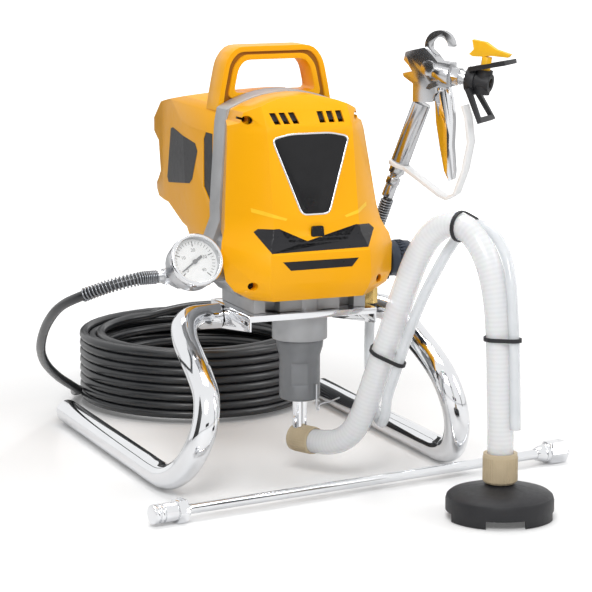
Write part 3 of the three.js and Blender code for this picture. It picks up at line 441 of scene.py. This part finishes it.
def smoothLine(points, perSpan):
    ends = [2 * points[0] - points[1], *points, 2 * points[-1] - points[-2]]
    line = []
    for first, start, end, last in zip(ends, ends[1:], ends[2:], ends[3:]):
        knots = [0.0]
        for before, after in ((first, start), (start, end), (end, last)):
            knots.append(knots[-1] + max((after - before).length, 1e-6) ** 0.5)
        t0, t1, t2, t3 = knots
        for step in range(perSpan):
            t = t1 + (t2 - t1) * step / perSpan
            a = first * ((t1 - t) / (t1 - t0)) + start * ((t - t0) / (t1 - t0))
            b = start * ((t2 - t) / (t2 - t1)) + end * ((t - t1) / (t2 - t1))
            c = end * ((t3 - t) / (t3 - t2)) + last * ((t - t2) / (t3 - t2))
            d = a * ((t2 - t) / (t2 - t0)) + b * ((t - t0) / (t2 - t0))
            e = b * ((t3 - t) / (t3 - t1)) + c * ((t - t1) / (t3 - t1))
            line.append(d * ((t2 - t) / (t2 - t1)) + e * ((t - t1) / (t2 - t1)))
    return [*line, points[-1]]


def framesAlong(line):  # a side and an up vector at each point, turning no more than the line does
    directions = [(line[min(i + 1, len(line) - 1)] - line[max(i - 1, 0)]).normalized() for i in range(len(line))]
    side = directions[0].orthogonal().normalized()
    frames = []
    for direction in directions:
        side = (side - direction * side.dot(direction)).normalized()
        frames.append((side, direction.cross(side)))
    return frames


def tube(name, line, radius, sides, finish, body, bore=0.0):
    points, faces, uvs = [], [], []
    frames = framesAlong(line)
    walls = [radius] if bore == 0 else [radius, bore]
    lengths = [0.0]
    for before, after in zip(line, line[1:]):
        lengths.append(lengths[-1] + (after - before).length)
    for wall, size in enumerate(walls):
        for point, (side, up) in zip(line, frames):
            for k in range(sides):
                angle = 2 * math.pi * k / sides
                points.append(point + (side * math.cos(angle) + up * math.sin(angle)) * size)
        base = wall * len(line) * sides
        for i in range(len(line) - 1):
            for k in range(sides):
                a, b = base + i * sides + k, base + i * sides + (k + 1) % sides
                corners = [a, b, b + sides, a + sides]
                places = [(k / sides, lengths[i]), ((k + 1) / sides, lengths[i]),
                          ((k + 1) / sides, lengths[i + 1]), (k / sides, lengths[i + 1])]
                faces.append(corners[::-1] if wall else corners)
                uvs.append(places[::-1] if wall else places)
    last = (len(line) - 1) * sides
    flat = [(0.5, 0.0)] * sides
    if bore == 0:
        faces += [list(range(sides))[::-1], [last + k for k in range(sides)]]
        uvs += [flat, flat]
    else:
        inner = len(line) * sides
        for k in range(sides):
            n = (k + 1) % sides
            faces += [[k, inner + k, inner + n, n], [last + n, inner + last + n, inner + last + k, last + k]]
            uvs += [flat[:4], flat[:4]]
    return addPiece(name, points, faces, finish, body, uvs=uvs)


def turnedPiece(name, profile, sides, finish, body, matrix, sharp=30):
    points, faces = [], []
    for radius, height in profile:
        for k in range(sides):
            angle = 2 * math.pi * k / sides
            points.append(matrix @ Vector((radius * math.cos(angle), radius * math.sin(angle), height)))
    for i in range(len(profile)):
        j = (i + 1) % len(profile)
        if j == 0 and profile[0][0] < 1e-7:
            continue
        for k in range(sides):
            n = (k + 1) % sides
            faces.append([i * sides + k, i * sides + n, j * sides + n, j * sides + k])
    piece = addPiece(name, points, faces, finish, body)
    tidyMesh(piece, sharp)
    return piece


def tidyMesh(piece, sharp=30):
    work = bmesh.new()
    work.from_mesh(piece.data)
    bmesh.ops.remove_doubles(work, verts=work.verts, dist=1e-6)
    bmesh.ops.dissolve_degenerate(work, edges=work.edges, dist=1e-7)
    bmesh.ops.recalc_face_normals(work, faces=work.faces)
    for edge in work.edges:
        edge.smooth = edge.calc_face_angle(0.0) < math.radians(sharp)
    for face in work.faces:
        face.smooth = True
    work.to_mesh(piece.data)
    work.free()


def softened(node, width, segments=2, angle=28, dissolve=1.5):
    source = nodes[node]
    mesh = source.data.copy()
    piece = bpy.data.objects.new(node + "_shell", mesh)
    scene.collection.objects.link(piece)
    work = bmesh.new()
    work.from_mesh(mesh)
    bmesh.ops.remove_doubles(work, verts=work.verts, dist=2e-5)
    bmesh.ops.dissolve_degenerate(work, edges=work.edges, dist=1e-5)
    bmesh.ops.dissolve_limit(
        work, angle_limit=math.radians(dissolve), verts=work.verts, edges=work.edges)
    bmesh.ops.recalc_face_normals(work, faces=work.faces)
    work.to_mesh(mesh)
    work.free()
    mesh.polygons.foreach_set("use_smooth", [True] * len(mesh.polygons))
    bevel = piece.modifiers.new("bevel", "BEVEL")
    bevel.width = width / 1000
    bevel.segments = segments
    bevel.limit_method = "ANGLE"
    bevel.angle_limit = math.radians(angle)
    bevel.harden_normals = True
    bevel.use_clamp_overlap = True
    evaluated = piece.evaluated_get(bpy.context.evaluated_depsgraph_get())
    result = bpy.data.meshes.new_from_object(evaluated)
    piece.modifiers.clear()
    piece.data = result
    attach(piece, bodyOf[node])
    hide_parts(node)
    return piece


# hoses and tubes

suctionAngle = math.atan2(-225, 107)


def inSuctionPlane(t, w, z):
    c, s = math.cos(suctionAngle), math.sin(suctionAngle)
    return place(t * c - w * s, -2 + t * s + w * c, z)


suctionHose = {
    "radius": 12.0, "wall": 1.6,
    "route": [
        (7.7, 0, 34.5), (22, 0, 34.5), (38, 0, 36), (54, 0, 41), (68, 0, 51), (80, 0, 68), (90, 0, 90),
        (102, 0, 120), (119, 0, 162), (135, 0, 202), (148, 0, 230), (163, 0, 251), (178, 0, 262),
        (192, 0, 265.5), (207, 0, 262), (221, 0, 251), (232, 0, 234), (239, 0, 214), (243.5, 0, 190),
        (246, 0, 160), (248, 0, 110), (249.1, 0, 75), (249.1, 0, 44.3)],
}
returnTube = {
    "radius": 5.0, "wall": 1.1,
    "route": [
        (30.6, 69, 150), (31, 68, 122), (38, 61, 96), (53, 47, 76), (74, 29, 64), (94, 14, 62),
        (107, 4, 74), (113, 0, 92), (123, 0, 118), (139, 0, 158), (153, 1.5, 190), (165, 7, 217),
        (177, 14, 242), (190, 18, 259), (205, 18.2, 264.5), (221, 15, 262), (236, 12, 252),
        (249, 7.5, 235), (257, 3, 214), (261, 0.5, 190), (263.5, 0, 160), (265, 0, 120), (266, 0, 84)],
}
paintHose = {
    "radius": 4.7,
    "lead": [
        (-143, 8, 202), (-160, 8, 201.6), (-190, 15, 194.5), (-212, 31, 184), (-223, 58, 171),
        (-225, 98, 148), (-217, 150, 116), (-196, 210, 86), (-161, 280, 54), (-131, 330, 32),
        (-114.5, 358.5, 20)],
    "riser": [
        (118, 392, 89), (125, 350, 93), (126, 300, 110), (123, 250, 141), (118, 205, 169),
        (111, 160, 181), (104.5, 115, 185), (102, 88, 191), (104.5, 71, 204), (109, 64.7, 221.4),
        (114, 59.4, 240.5), (118.8, 54.2, 259.6)],
    "coilCentre": (15, 350), "columns": [119.2, 109.8, 100.4], "rise": 9.3, "turns": 8,
    "lowTurn": 4.7, "highTurn": 79.1,
}


def lengthOf(line):
    return sum((after - before).length for before, after in zip(line, line[1:]))


def addSuctionHose():
    line = smoothLine([inSuctionPlane(*point) for point in suctionHose["route"]], 7)
    radius, wall = suctionHose["radius"] / 1000, suctionHose["wall"] / 1000
    hose = tube("suction_hose_wall", line, radius, 28, suctionWall, "machine", radius - wall)
    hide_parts("suction_hose")
    lengthOf(line)


def addReturnTube():
    line = smoothLine([inSuctionPlane(*point) for point in returnTube["route"]], 6)
    radius, wall = returnTube["radius"] / 1000, returnTube["wall"] / 1000
    piece = tube("return_tube_wall", line, radius, 20, returnWall, "machine", radius - wall)
    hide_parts("return_tube")
    lengthOf(line)


def coilPoints():
    centreX, centreY = paintHose["coilCentre"]
    low, high = paintHose["lowTurn"], paintHose["highTurn"]
    points = [(165, 130, 13), (150, 128.8, 6.6), (130, 127.5, low), (105, 123, low)]
    angle = 85.0
    outer, middle, inner = paintHose["columns"]
    for radius, start, end, turns in (
            (outer, low, high, paintHose["turns"]), (middle, high, low, paintHose["turns"])):
        count = int(turns * 20)
        for i in range(count + 1):
            points.append((angle - 360 * turns * i / count, radius, start + (end - start) * i / count))
        angle -= 360 * turns + 45
    sweepDegrees = (angle - 100) % 360 + 360 * 4
    count = int(sweepDegrees / 18)
    for i in range(count + 1):
        points.append((angle - sweepDegrees * i / count, inner, low + (high - low) * i / count))
    points += [(85, 100.6, 83), (70, 102, 87), (50, 105.5, 89), (36, 109, 89.2)]
    places = []
    for degrees, radius, height in points:
        turn = math.radians(degrees)
        places.append(place(centreX + radius * math.cos(turn), centreY + radius * math.sin(turn), height))
    return places


def wireAround(name, line, radius, wire, turns, node):
    frames = framesAlong(line)
    count = turns * 12
    points = []
    for i in range(count + 1):
        at = i / count * (len(line) - 1)
        index = min(int(at), len(line) - 2)
        centre = line[index].lerp(line[index + 1], at - index)
        side, up = frames[index]
        turn = 2 * math.pi * i / 12
        points.append(centre + (side * math.cos(turn) + up * math.sin(turn)) * radius / 1000)
    spring = tube(name, points, wire / 1000, 8, springSteel, "machine")
    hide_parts(node)
    return spring


def addPaintHose():
    lead = smoothLine([place(*point) for point in paintHose["lead"]], 8)
    riser = smoothLine([place(*point) for point in paintHose["riser"]], 8)
    coil = smoothLine([lead[-1], *coilPoints(), riser[0]], 2)
    line = [*lead, *coil[1:-1], *riser]
    radius = paintHose["radius"] / 1000
    leadSpring = wireAround("lead_guard_spring", lead[:24], 5.9, 0.85, 26, "lead_spring")
    gunSpring = wireAround("gun_guard_spring", riser[-17:-1], 5.9, 0.85, 14, "gun_spring")
    hose = tube("paint_hose_jacket", line, radius, 12, hoseJacket, "machine")
    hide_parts("hose_lead", "hose_coil", "hose_riser")
    lengthOf(line)
    print("paint hose length", round(lengthOf(line), 2))


addSuctionHose()
addReturnTube()
addPaintHose()
print("hoses")


# stand

legs = {
    "radius": 12.5,
    "route": [
        (66.3, 44, 153), (81, 44, 153), (98, 36, 153.5), (110.5, 22, 149.5), (116, 4, 139),
        (118.5, -22, 127), (120.5, -50, 114), (123, -73, 98), (128, -83, 76), (134, -79, 54),
        (140, -62, 32), (144.3, -43, 19.8), (146.4, -22, 13.8), (147, 2, 12.5), (147, 40, 12.5),
        (147, 160, 12.5), (147, 292, 12.5)],
}


def addLegs():
    for node, sign in (("right_leg", 1), ("left_leg", -1)):
        line = smoothLine([place(sign * x, y, z) for x, y, z in legs["route"]], 8)
        piece = tube(node + "_tube", line, legs["radius"] / 1000, 48, chrome, "machine",
                     (legs["radius"] - 1.6) / 1000)
        tidyMesh(piece, 40)
        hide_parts(node)


addLegs()


# covers and castings with rounded edges

softEdges = {
    "front_cover": 1.3, "rear_cover": 1.6, "carry_handle": 2.6, "drive_housing": 1.2,
    "base_plate": 0.35, "pressure_knob": 0.8, "outlet_manifold": 1.0, "gun_body": 0.8,
    "gun_trigger": 1.2, "gun_guard": 0.6, "spray_tip": 0.7, "tip_guard": 0.6, "strainer_foot": 0.8,
    "lance_tube": 0.4, "lance_nut": 0.5, "outlet_nut": 0.5, "hose_clip": 0.8, "gun_swivel": 0.4,
    "badge_panel": 0.3, "return_fitting": 0.4, "pump_body": 0.8, "pump_throat": 0.8,
    "gauge_case": 0.5, "gauge_bezel": 0.3, "inlet_coupling": 0.5, "foot_nut": 0.5,
}


handleChannel = {"shallow": 0.002, "deep": 0.0045}  # metres behind the front of the handle


# paints shade: the sunk front faces of the handle take the dark brown painted-shade material
def shadeChannel(shell):  # the sunk front face of the handle
    front = min(vert.co.y for vert in shell.data.vertices)
    shell.data.materials.append(channelShade.material)
    for face in shell.data.polygons:
        if face.normal.y < -0.9 and handleChannel["shallow"] < face.center.y - front < handleChannel["deep"]:
            face.material_index = 1


def addSoftEdges():
    for node, width in softEdges.items():
        shell = softened(node, width)
        # the handle's front channel gets painted shade
        if node == "carry_handle":
            shadeChannel(shell)


addSoftEdges()
print("covers and castings")


# printed bands and painted highlight wedges on the front cover

printsAndHighlights = {
    "upperBand": [(-60, 246.5), (-56, 249.4), (-38.7, 249.9), (-28.7, 236), (-2, 233), (29.3, 236),
                  (40.7, 250.2), (60, 248), (66, 243), (49.6, 229), (-49.6, 228)],
    "lowerBand": [(-39, 219.5), (39, 219.5), (32, 211.5), (-31, 211)],
    # the two wedges are painted highlights of lit cover facets, not print
    "leftWedge": [(-60, 268.5), (-59.6, 264.5), (-31, 257), (-29.5, 259), (-50, 266)],
    "rightWedge": [(60, 268.5), (59.6, 264.5), (31, 257), (29.5, 259), (50, 266)],
}


def addPrint(name, outline, finish, node="front_cover", side=False, lift=0.25):
    cover = nodes[node].data
    start = Vector((-0.15, 0, 0)) if side else Vector((0, -0.15, 0))
    toCover = -start.normalized()
    surface = BVHTree.FromPolygons([vert.co for vert in cover.vertices], [face.vertices for face in cover.polygons])
    work = bmesh.new()
    edges = [work.verts.new((place(0, a, z) if side else place(a, 0, z)) + start) for a, z in outline]
    work.faces.new(edges)
    bmesh.ops.triangulate(work, faces=work.faces)
    for _ in range(6):
        bmesh.ops.subdivide_edges(work, edges=[e for e in work.edges if e.calc_length() > 0.002], cuts=1)
        bmesh.ops.triangulate(work, faces=work.faces)
    for vert in work.verts:
        at = surface.ray_cast(vert.co, toCover)[0]
        vert.co = (at or vert.co + toCover * 0.09) - toCover * lift / 1000
    mesh = bpy.data.meshes.new(name)
    bmesh.ops.recalc_face_normals(work, faces=work.faces)
    work.normal_update()
    if sum(face.normal.dot(toCover) for face in work.faces) > 0:
        bmesh.ops.reverse_faces(work, faces=work.faces)
    work.to_mesh(mesh)
    work.free()
    piece = bpy.data.objects.new(name, mesh)
    scene.collection.objects.link(piece)
    mesh.materials.append(finish.material)
    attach(piece, "machine")
    return piece


badgeRim = {"centre": (0, -36.2, 299), "lean": math.atan2(43 - 29.3, 336 - 262), "width": 0.9, "proud": 0.5,
            "outline": [(-39.5, 35), (-14, -38), (14, -38), (39.5, 35), (20, 39), (-20, 39)], "round": 6}


def addBadgeRim():
    corners = [Vector(corner) for corner in badgeRim["outline"]]
    outline = []
    for before, corner, after in zip(corners[-1:] + corners, corners, corners[1:] + corners[:1]):
        start, end = (corner + (other - corner).normalized() * badgeRim["round"] for other in (before, after))
        for step in range(7):
            t = step / 6
            outline.append(start * (1 - t) ** 2 + corner * 2 * t * (1 - t) + end * t ** 2)
    turn = Matrix.Rotation(-badgeRim["lean"], 4, "X")
    points, faces = [], []
    count = len(outline)
    for i, corner in enumerate(outline):
        ahead = (outline[(i + 1) % count] - outline[i - 1]).normalized()
        outward = Vector((ahead.y, -ahead.x))
        for step in range(8):
            angle = math.pi * step / 7
            flat = corner + outward * badgeRim["width"] * math.cos(angle)
            local = turn @ Vector((flat.x, -badgeRim["proud"] * math.sin(angle), flat.y))
            points.append(place(*(Vector(badgeRim["centre"]) + local)))
    for i in range(count):
        for step in range(7):
            a, b = i * 8 + step, (i + 1) % count * 8 + step
            faces.append([a, b, b + 1, a + 1])
        faces.append([i * 8 + 7, (i + 1) % count * 8 + 7, (i + 1) % count * 8, i * 8])
    rim = addPiece("badge_rim", points, faces, chrome, "machine")
    tidyMesh(rim, 60)


def addPrints():
    for name, outline in printsAndHighlights.items():
        # the wedges take the painted highlight, the bands black print
        finish = facetHighlight if "Wedge" in name else blackPrint
        addPrint("cover_" + name, outline, finish)
    plate = [(201, 321), (192, 323), (116, 315), (109, 308), (124, 278), (132, 273), (212, 264), (217, 269)]
    addPrint("rating_plate", plate, blackPrint, "rear_cover", True)


addPrints()
addBadgeRim()


# gauge dial

dial = {"centre": (-115, -28, 222.5), "tilt": 25, "floor": -7.7, "radius": 22.6, "marks": 28, "span": 270}


def dialMatrix():
    turn = Matrix.Rotation(math.radians(90 - dial["tilt"]), 4, "X")
    return Matrix.Translation(place(*dial["centre"])) @ turn @ Matrix.Scale(0.001, 4)


def addDial():
    matrix = dialMatrix()
    floor = dial["floor"]
    turnedPiece("dial_face", [(0, floor - 0.2), (dial["radius"], floor - 0.2), (dial["radius"], floor), (0, floor)],
                64, dialWhite, "machine", matrix)
    points, faces = [], []
    for i in range(dial["marks"] + 1):
        turn = math.radians(-135 + dial["span"] * i / dial["marks"])
        long = i % 7 == 0
        inner, outer, half = (15.2 if long else 17.4), 20.4, (0.45 if long else 0.22)
        outward = Vector((math.sin(turn), math.cos(turn), 0))
        sideways = Vector((outward.y, -outward.x, 0))
        start = len(points)
        for radius, sign in ((inner, -1), (outer, -1), (outer, 1), (inner, 1)):
            points.append(matrix @ (outward * radius + sideways * half * sign + Vector((0, 0, floor + 0.12))))
        faces.append([start, start + 3, start + 2, start + 1])
    addPiece("dial_marks", points, faces, dialInk, "machine", smooth=False)
    for i in range(5):
        turn = math.radians(-135 + dial["span"] * i / 4)
        text = bpy.data.curves.new("dialNumber", "FONT")
        text.body = str(i * 10)
        text.size = 4.6
        text.align_x = "CENTER"
        text.align_y = "CENTER"
        label = bpy.data.objects.new("dial_number_" + str(i), text)
        scene.collection.objects.link(label)
        mesh = bpy.data.meshes.new_from_object(label.evaluated_get(bpy.context.evaluated_depsgraph_get()))
        bpy.data.objects.remove(label)
        at = Matrix.Translation((math.sin(turn) * 11.6, math.cos(turn) * 11.6, floor + 0.12))
        mesh.transform(matrix @ at)
        number = bpy.data.objects.new("dial_number_" + str(i), mesh)
        scene.collection.objects.link(number)
        mesh.materials.clear()
        mesh.materials.append(dialInk.material)
        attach(number, "machine")


addDial()


# grips on the two beige nuts and the knob, as ribs round an axis

ribs = {
    "footNut": {"centre": (107, -227, 45.5), "axis": (0, 0, 1), "radius": 15.75, "count": 40,
                "size": (0.9, 0.9, 22), "finish": beigeMoulding, "body": "foot_coupling_nut"},
    "inletNut": {"centre": (107 / 249.15 * 8, -2 - 225 / 249.15 * 8, 34.5), "axis": (107, -225, 0),
                 "radius": 13.15, "count": 34, "size": (0.8, 0.8, 20), "finish": beigeMoulding,
                 "body": "machine"},
    "knobGrip": {"centre": (102.5, -6, 208), "axis": (1, 0, 0), "radius": 17.5, "count": 30,
                 "size": (0.9, 1.4, 7), "finish": knobMoulding, "body": "knob"},
}


def ribTree():
    tree = bpy.data.node_groups.new("ribsRoundAxis", "GeometryNodeTree")
    tree.interface.new_socket("Geometry", in_out="OUTPUT", socket_type="NodeSocketGeometry")
    for name, kind in (("Count", "NodeSocketInt"), ("Radius", "NodeSocketFloat"), ("Size", "NodeSocketVector"),
                       ("Finish", "NodeSocketMaterial")):
        tree.interface.new_socket(name, in_out="INPUT", socket_type=kind)
    tree.interface.new_socket("Geometry", in_out="INPUT", socket_type="NodeSocketGeometry")
    add = tree.nodes.new
    given, result = add("NodeGroupInput"), add("NodeGroupOutput")
    circle, box, copies = add("GeometryNodeMeshCircle"), add("GeometryNodeMeshCube"), add("GeometryNodeInstanceOnPoints")
    normal, turn = add("GeometryNodeInputPosition"), add("FunctionNodeAlignEulerToVector")
    real, finish = add("GeometryNodeRealizeInstances"), add("GeometryNodeSetMaterial")
    turn.axis = "X"
    turn.pivot_axis = "Z"
    link = tree.links.new
    link(given.outputs["Count"], circle.inputs["Vertices"])
    link(given.outputs["Radius"], circle.inputs["Radius"])
    link(given.outputs["Size"], box.inputs["Size"])
    link(normal.outputs[0], turn.inputs["Vector"])
    link(circle.outputs[0], copies.inputs["Points"])
    link(box.outputs[0], copies.inputs["Instance"])
    link(turn.outputs[0], copies.inputs["Rotation"])
    link(copies.outputs[0], real.inputs[0])
    link(real.outputs[0], finish.inputs["Geometry"])
    link(given.outputs["Finish"], finish.inputs["Material"])
    link(finish.outputs[0], result.inputs[0])
    return tree


def addRibs():
    tree = ribTree()
    socketOf = {item.name: item.identifier for item in tree.interface.items_tree if item.in_out == "INPUT"}
    for name, rib in ribs.items():
        holder = bpy.data.objects.new(name, bpy.data.meshes.new(name))
        scene.collection.objects.link(holder)
        modifier = holder.modifiers.new("ribs", "NODES")
        modifier.node_group = tree
        modifier[socketOf["Count"]] = rib["count"]
        modifier[socketOf["Radius"]] = rib["radius"] / 1000
        modifier[socketOf["Size"]] = [value / 1000 for value in rib["size"]]
        modifier[socketOf["Finish"]] = rib["finish"].material
        evaluated = holder.evaluated_get(bpy.context.evaluated_depsgraph_get())
        mesh = bpy.data.meshes.new_from_object(evaluated)
        bpy.data.objects.remove(holder)
        turn = Vector(rib["axis"]).to_track_quat("Z", "Y").to_matrix().to_4x4()
        mesh.transform(Matrix.Translation(place(*rib["centre"])) @ turn)
        piece = bpy.data.objects.new(name + "_ribs", mesh)
        scene.collection.objects.link(piece)
        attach(piece, rib["body"])


addRibs()
print("dial, prints and ribs")
